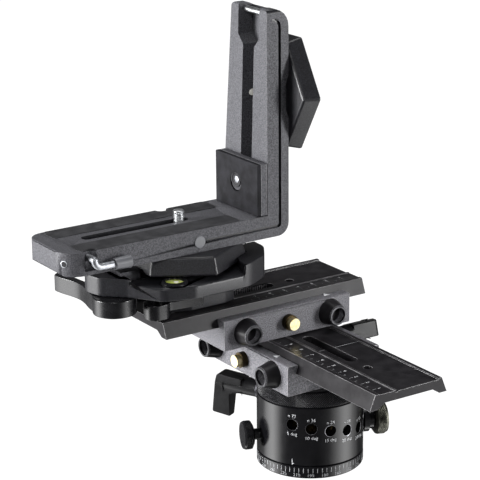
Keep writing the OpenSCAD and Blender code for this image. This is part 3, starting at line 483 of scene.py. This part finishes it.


# Painted shade: the floor of the groove along the bracket's side and the inside of the camera
# screw's slot are painted black
GROOVE = ((-32, 17.9, ARM_Z), (60, 19.7, 300))               # along the bracket's side
SLOT = ((-136, 36.0, ARM_Z), (-30, 44.0, ARM_TOP - 0.2))     # for the camera screw
softened("l_bracket", 0.5, coat_edge_highlight, dark=(GROOVE, SLOT))
softened("adapter_body", 0.7, None, ((DECK_TOP + JAW_RISE, 3.2), (DECK_TOP, 1.3)), 5.0)
# The third column is the lighter edge material, a painted highlight along the broken edges
for node, width, edge in (
        ("stop_plate", 0.3, coat_edge_highlight), ("stop_pad", 0.25, None),
        ("lower_slide", 0.22, slide_edge_highlight), ("upper_slide", 0.22, slide_edge_highlight),
        ("lower_clamp", 0.3, coat_edge_highlight), ("upper_clamp", 0.3, coat_edge_highlight),
        ("lower_jaw", 0.3, coat_edge_highlight), ("upper_jaw", 0.3, coat_edge_highlight),
        ("hex_plate_under", 1.2, None), ("hex_plate_side", 1.2, None),
        ("adapter_foot", 0.6, None), ("pan_lever", 0.6, None),
        ("lower_lever", 0.6, None), ("upper_lever", 0.6, None), ("qr_lever", 0.7, None),
        ("qr_catch", 0.5, None), ("crank", 0.1, None)):
    softened(node, width, edge)


# ---- rotation unit ---------------------------------------------------------
# Every profile from here on is a list of (radius, height).

def degree_scale():
    """A tick each 5 degrees round the ring, and a number each 15."""
    marks = bmesh.new()
    for k in range(72):
        tick = stroke(0.24, 2.6, 0, 4.75)
        wrap(tick, FIRST_TICK + 5 * k, 0)
        join(marks, tick)
    for k in range(24):
        word = letters(str(15 * k), LABEL_CAP)
        wrap(word, NUMBER_195 + 195 - 15 * k, 2.0)
        join(marks, word)
    piece("degree_scale", marks, faint_ink, "base")


def hole_labels():
    """Clicks above each index hole and degrees below it, and the housing's own line."""
    marks = bmesh.new()
    for k, clicks in enumerate(HOLE_COUNTS):
        angle, z = HOLE_A + HOLE_STEP * k, HOLE_Z - HOLE_DROP * k
        for words, above in ((f"n {clicks}", 5.2), (f"{360 // clicks} deg", -5.3)):
            word = letters(words, LABEL_CAP)
            wrap(word, angle, z + above)
            join(marks, word)
    for line in (stroke(0.28, 3.6, 0, 2.2), stroke(1.0, 0.28, 0.4, 1.3)):
        wrap(line, HOUSE_LINE, HOUSE_Z)
        join(marks, line)
    piece("hole_labels", marks, ink, "turret")


def hole_rims():
    """Broken edge of each index hole in a lighter metal: a painted highlight for the glints on
    its chamfer.
    """
    rims = bmesh.new()
    inner, outer = HOLE_R - 0.03, HOLE_R + 0.14
    for k in range(len(HOLE_COUNTS)):
        rim = turned([(inner, -0.3), (inner, -0.02), (outer, 0.04), (outer, -0.3)], 48, True)
        wrap(rim, HOLE_A + HOLE_STEP * k, HOLE_Z - HOLE_DROP * k)
        join(rims, rim)
    piece("hole_rims", rims, hole_rim_highlight, "turret", 30)


def knurled_pieces():
    """Knurl on the top disc, and the two knobs with theirs."""
    r, low, high = DISC_R + 0.02, DISC_Z + 0.3, DISC_TOP + 0.04
    bm = knurled([(28.0, low), (r, low)], (r, DISC_Z + 0.5, DISC_TOP - 0.6),
                 [(28.9, high), (28.0, high)], 8, 168, 0.33, True)
    piece("disc_knurl", bm, knurl_anodised, "turret", 25, AXIS)

    # The knobs' heights are distances from the pan axis
    bm = knurled([(0, 36.7), (7.5, 36.7), (9.15, 37.8)], (9.15, 38.1, 42.7),
                 [(8.5, 44.0), (0, 44.0)], 4, 44, 0.4)
    where = on_wall(HOLE_A + HOLE_STEP * PLUNGER_HOLE, HOLE_Z - HOLE_DROP * PLUNGER_HOLE)
    knob = piece("plunger_knob_knurled", bm, knob_black, "index_plunger", 25, where)
    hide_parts("plunger_knob")

    bm = knurled([(0, 33.4), (6.0, 33.4), (7.95, 34.5)], (7.95, 34.7, 38.4),
                 [(7.5, 39.3), (0, 39.3)], 4, 60, 0.22)
    join(bm, turned([(0, 26.9), (3.15, 26.9), (3.15, 33.5), (0, 33.5)], 40))
    knob = piece("drag_knob_knurled", bm, satin, "drag_screw", 25, on_wall(DRAG_A, DRAG_Z))
    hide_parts("drag_knob")


def socket_thread():
    """Thread of the tripod socket, 16 turns to the inch."""
    pitch, turns = 1.5875, 6
    ridge = [(4.8, 0.7), (4.3, 1.15), (4.3, 1.35), (4.8, 1.8)]
    bm = turned(ridge, 48, True, turns, pitch * turns)
    piece("tripod_socket_thread", bm, steel, "base", 30, AXIS)


# ---- slides and clamps -----------------------------------------------------

def slide_scales():
    """Numbers each 10 mm with a long line out to the rim, and short lines between."""
    for name, body, count, one, pitch, right, up in (
            ("lower", "lower_carriage", 9, LOW_ONE, LOW_PITCH, -Y, X),
            ("upper", "upper_carriage", 7, UP_ONE, UP_PITCH, X, Y)):
        marks, lines = bmesh.new(), bmesh.new()
        for k in range(count):
            spot = Vector(one) - right * pitch * k
            join(marks, letters(str(k + 1), SCALE_CAP), place(spot, right, up))
        for k in range(2 * count):
            spot = Vector(one) - right * pitch * k / 2 - up * 4.6
            length = 2.4 if k % 2 == 0 else 1.3
            join(lines, stroke(0.16, length, 0, length / 2), place(spot, right, up))
        piece(name + "_scale_numbers", marks, ink, body)
        piece(name + "_scale_lines", lines, faint_ink, body)


def cross_line():
    """Line scribed across the lower plate's face, on both sides of its slot."""
    line = bmesh.new()
    for low, high in ((-6.8, -3.5), (3.5, 21.0)):
        join(line, box((high - low, 0.18, INK_T), ((high + low) / 2, -18.2, LOW_TOP - 0.78)))
    piece("lower_cross_line", line, faint_ink, "lower_carriage", None, AXIS)


def slot_ribs():
    """Upright ribs on the far wall of the upper plate's slot."""
    ribs = bmesh.new()
    for k in range(30):
        join(ribs, box((0.4, 0.4, 3.4), (-42 + 1.5 * k, 43.15, 89.8)))
    # The ribs are drawn in the lighter edge anodising, a painted highlight
    piece("upper_slot_ribs", ribs, slide_edge_highlight, "upper_carriage", None, AXIS)


def boss_sleeves():
    """Turned sleeves of the four rod bosses, each with a rim in a lighter metal, a painted
    highlight on its chamfer.
    """
    sleeve = [(7.0, 0.02), (7.76, 0.02), (7.74, 0.5), (5.68, 8.1), (5.3, 8.1)]
    rim = [(5.0, 7.9), (5.68, 8.05), (5.66, 8.3), (5.42, 8.56), (4.52, 8.56), (4.38, 8.4),
           (4.38, 7.0), (4.7, 7.0)]
    for name, body, right, ends in (
            ("lower", "turret", -Y, ((-31, -8.5, 59.8), (-31, 48.5, 59.8))),
            ("upper", "lower_carriage", X, ((-37, 9, 80.6), (20, 9, 80.6)))):
        sleeves, rims = bmesh.new(), bmesh.new()
        for end in ends:
            join(sleeves, turned(sleeve, 56, True), place(end, right, Z))
            join(rims, turned(rim, 56, True), place(end, right, Z))
        piece(name + "_boss_sleeves", sleeves, slide_anodised, body, 30)
        piece(name + "_boss_rims", rims, rim_highlight, body, 30)


def index_marks():
    """Printed triangle on each clamp, which points at the plate's scale."""
    for name, body, middle, right, up in (("lower", "turret", LOW_MARK, -Y, X),
                                          ("upper", "lower_carriage", UP_MARK, X, Y)):
        bm = bmesh.new()
        bmesh.ops.create_circle(bm, cap_ends=True, segments=3, radius=2.3)
        out = bmesh.ops.extrude_face_region(bm, geom=list(bm.faces))
        bmesh.ops.translate(bm, vec=(0, 0, INK_T),
                            verts=[g for g in out["geom"] if isinstance(g, bmesh.types.BMVert)])
        bmesh.ops.recalc_face_normals(bm, faces=bm.faces)
        piece(name + "_index_mark", bm, ink, body, None, place(middle, right, up))


# ---- adapter and bracket ---------------------------------------------------

def camera_screw():
    """Camera screw with its thread, 20 turns to the inch, drawn from the arm's underside."""
    pitch, turns = 1.27, 3.4
    bm = turned([(0, 0.6), (1.9, 0.6), (1.9, 9.0), (2.85, 9.0), (2.85, 18.0), (2.3, 18.5),
                 (0, 18.5)], 40)
    ridge = [(2.7, 12.9), (3.17, 13.35), (3.17, 13.55), (2.7, 14.0)]
    join(bm, turned(ridge, 32, True, turns, pitch * turns))
    where = place(CAMERA_SCREW, X, Y)
    screw = piece("camera_screw_threaded", bm, bright_steel, "camera_bolt", 30, where)
    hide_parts("camera_screw")


def level_glass():
    """Lens of the bubble level, its rim with the circle, and the bubble, drawn pale white as the
    bubble and a painted highlight on it.
    """
    lens = turned([(0, 0.0), (4.9, 0.0), (4.9, 0.25), (3.2, 0.5), (0, 0.62)], 48)
    rim = turned([(1.9, 0.5), (2.1, 0.5), (2.1, 0.62), (1.9, 0.62)], 40, True)
    join(rim, turned([(5.0, 0.1), (5.0, 1.2), (5.3, 1.5), (6.2, 1.5), (7.0, 0.7), (7.0, 0.1)],
                     56, True))
    bubble = turned([(0, 0.5), (1.5, 0.5), (1.4, 0.72), (0.8, 0.82), (0, 0.84)], 32)
    for name, bm, look, x, y, lift in (("level_lens", lens, vial_fluid, 0, 0, 0.12),
                                       ("level_rim", rim, satin, 0, 0, 0.02),
                                       ("level_bubble_highlight", bubble, acetal, 0.6, -0.8, 0.02)):
        where = place((LEVEL_X + x, LEVEL_Y + y, DECK_TOP + lift), X, Y)
        piece(name, bm, look, "upper_carriage", 30, where)


def bracket_fittings():
    """Small turned pieces on the bracket and the camera stop."""
    side = place((-60.2, 17.75, 133.9), X, Z)
    stop = place(STOP_SCREW, -Y, Z)
    bright_head = place(Vector(STOP_SCREW) - 0.7 * Y, -Y, Z)
    channel = place((-9.4, 42.3, 205.0), X, Z)
    corner = place((-139.95, 23.3, 134.9), (0.55, -0.84, 0), Z)
    for name, look, body, where, steps, smooth, profile in (
            ("side_plug", grip_plastic, "upper_carriage", side, 56, 30,
             [(0, -0.1), (3.3, -0.1), (3.4, 0.0), (3.4, 0.22), (3.2, 0.36), (0, 0.4)]),
            # The cup round the stop screw is drawn in black rubber, a painted shade for its
            # recess
            ("stop_screw_cup_shade", rubber, "camera_stop", stop, 56, 30,
             [(0, 0), (4.65, 0), (4.65, 0.35), (4.4, 0.5), (3.5, 0.5), (3.1, 0.05), (0, 0.05)]),
            ("stop_screw_socket", wire, "camera_stop", bright_head, 6, 20,
             [(0, 0.05), (2.0, 0.05), (2.0, 0.3), (1.3, 0.44), (0, 0.44)]),
            ("channel_screw_end", acetal, "upper_carriage", channel, 32, 30,
             [(0, -0.6), (1.9, -0.6), (1.9, 0.25), (1.5, 0.5), (0, 0.5)]),
            # The set screw's rim is plated metal drawn light, a painted highlight for its glints;
            # its socket is a flat black disc, a painted shade for the recess
            ("arm_set_screw", wire, "upper_carriage", corner, 40, 30,
             [(1.5, -0.3), (1.95, -0.3), (1.95, 0.12), (1.5, 0.2)]),
            ("arm_set_screw_socket_shade", rubber, "upper_carriage", corner, 40, 30,
             [(0, -0.3), (1.5, -0.3), (1.5, 0.12), (0, 0.12)])):
        bm = turned(profile, steps, profile[0][0] > 0)
        piece(name, bm, look, body, smooth, where)


degree_scale()
hole_labels()
hole_rims()
knurled_pieces()
slide_scales()
cross_line()
slot_ribs()
socket_thread()
boss_sleeves()
index_marks()
camera_screw()
level_glass()
bracket_fittings()


# ---- camera, light, floor --------------------------------------------------
# Lengths are in metres from here on.

def make_camera():
    """Camera fitted to the photograph."""
    az, el, roll = math.radians(-33.62), math.radians(17.39), math.radians(-0.5)
    across, height, distance = -0.03743, 0.1291, 1.0499
    back = Vector((math.sin(az) * math.cos(el), -math.cos(az) * math.cos(el), math.sin(el)))
    level = Vector((math.cos(az), math.sin(az), 0))
    up = back.cross(level)
    target = level * across + Z * height
    right = level * math.cos(roll) + up * math.sin(roll)
    top = up * math.cos(roll) - level * math.sin(roll)
    cam = bpy.data.objects.new("camera", bpy.data.cameras.new("camera"))
    bpy.context.scene.collection.objects.link(cam)
    turn = Matrix((right, top, back)).transposed()
    cam.matrix_world = Matrix.Translation(target + back * distance) @ turn.to_4x4()
    cam.data.lens = 144.1
    cam.data.sensor_width = 36
    cam.data.shift_x = -0.004
    cam.data.clip_start, cam.data.clip_end = 0.05, 20
    bpy.context.scene.camera = cam


def area(name, at, aim, size, power):
    """Rectangular lamp; power is in watts."""
    lamp = bpy.data.lights.new(name, "AREA")
    lamp.shape = "RECTANGLE"
    lamp.size, lamp.size_y = size
    lamp.energy = power
    obj = bpy.data.objects.new(name, lamp)
    bpy.context.scene.collection.objects.link(obj)
    obj.location = at
    obj.rotation_mode = "QUATERNION"
    obj.rotation_quaternion = (Vector(aim) - Vector(at)).to_track_quat("-Z", "Y")


# How bright the floor is in gloss, by the direction that the ray goes in: 0 to 1 is once
# round, from -X by way of -Y. There is a bright sheet on the camera's left, a broader and
# dimmer one on its right, and dark between them.
SHEETS = ((0.0, 0.01), (0.20, 0.003), (0.267, 0.05), (0.32, 0.4), (0.36, 0.75), (0.385, 0.75),
          (0.45, 0.15), (0.50, 0.003), (0.74, 0.003), (0.82, 0.05), (0.87, 0.6), (0.91, 1.0),
          (0.95, 0.5), (0.975, 0.08), (1.0, 0.02))
SHEET_POWER = 8.0


def make_floor():
    """Dark to diffuse light, white to the camera, and sheets of light in gloss."""
    m = new_material("floor", "#3c3c3c", 0.9)
    m.node_tree.nodes["Principled BSDF"].inputs["Emission Color"].default_value = grey(1)
    away = stretched(m, (add(m, "ShaderNodeNewGeometry"), "Incoming"), (-1, -1, -1))
    turn = (add(m, "ShaderNodeTexGradient", {"gradient_type": "RADIAL"}, Vector=away), "Fac")
    sheet = ramp(m, turn, *[(at, grey(level)) for at, level in SHEETS])
    path = add(m, "ShaderNodeLightPath")
    bright = calculated(m, "MULTIPLY", sheet, SHEET_POWER)
    gloss = calculated(m, "MULTIPLY", (path, "Is Glossy Ray"), bright)
    glow = calculated(m, "ADD", (path, "Is Camera Ray"), gloss)
    into_shader(m, "Emission Strength", glow)
    bm = bmesh.new()
    bmesh.ops.create_grid(bm, x_segments=1, y_segments=1, size=4)
    bmesh.ops.translate(bm, verts=bm.verts, vec=(0, 0, -0.4 * MM))
    floor = to_object("floor", bm, m)


def mixed(world, share, first, second):
    """Shader that goes from the first to the second with its share."""
    n = add(world, "ShaderNodeMixShader", {}, Fac=share)
    world.node_tree.links.new(first.outputs[0], n.inputs[1])
    world.node_tree.links.new(second.outputs[0], n.inputs[2])
    return n


def make_world():
    """White to the camera, dim to diffuse rays, and in gloss dim with a dark overhead."""
    world = bpy.data.worlds.new("studio")
    bpy.context.scene.world = world
    world.use_nodes = True
    dim = world.node_tree.nodes["Background"]
    dim.inputs["Color"].default_value = grey(1)
    dim.inputs["Strength"].default_value = 0.16
    white = add(world, "ShaderNodeBackground", {"Color": grey(1), "Strength": 1.0})
    where = (add(world, "ShaderNodeTexCoord"), "Generated")
    height = (add(world, "ShaderNodeSeparateXYZ", {}, Vector=where), "Z")
    overhead = ramp(world, height, (0.0, grey(0.35)), (0.3, grey(0.05)))
    mirror = add(world, "ShaderNodeBackground", {}, Color=overhead)
    path = add(world, "ShaderNodeLightPath")
    seen = calculated(world, "MAXIMUM", (path, "Is Camera Ray"), (path, "Is Transmission Ray"))
    unseen = mixed(world, (path, "Is Glossy Ray"), dim, mirror)
    both = mixed(world, seen, unseen, white)
    surface = world.node_tree.nodes["World Output"].inputs["Surface"]
    world.node_tree.links.new(both.outputs[0], surface)


make_camera()
make_world()
make_floor()
area("left", (-1.0, 0.42, 0.25), (-0.03, 0.02, 0.06), (0.4, 0.5), 37)
area("right", (0.75, -1.0, 0.3), (0, 0, 0.08), (0.25, 0.6), 21)
area("front", (-0.8, -0.95, 0.9), (-0.03, 0, 0.1), (0.35, 0.35), 8)
area("top", (0.1, 0.3, 1.7), (-0.03, 0.02, 0.1), (1.0, 0.8), 20)
bpy.context.scene.view_settings.view_transform = "Standard"
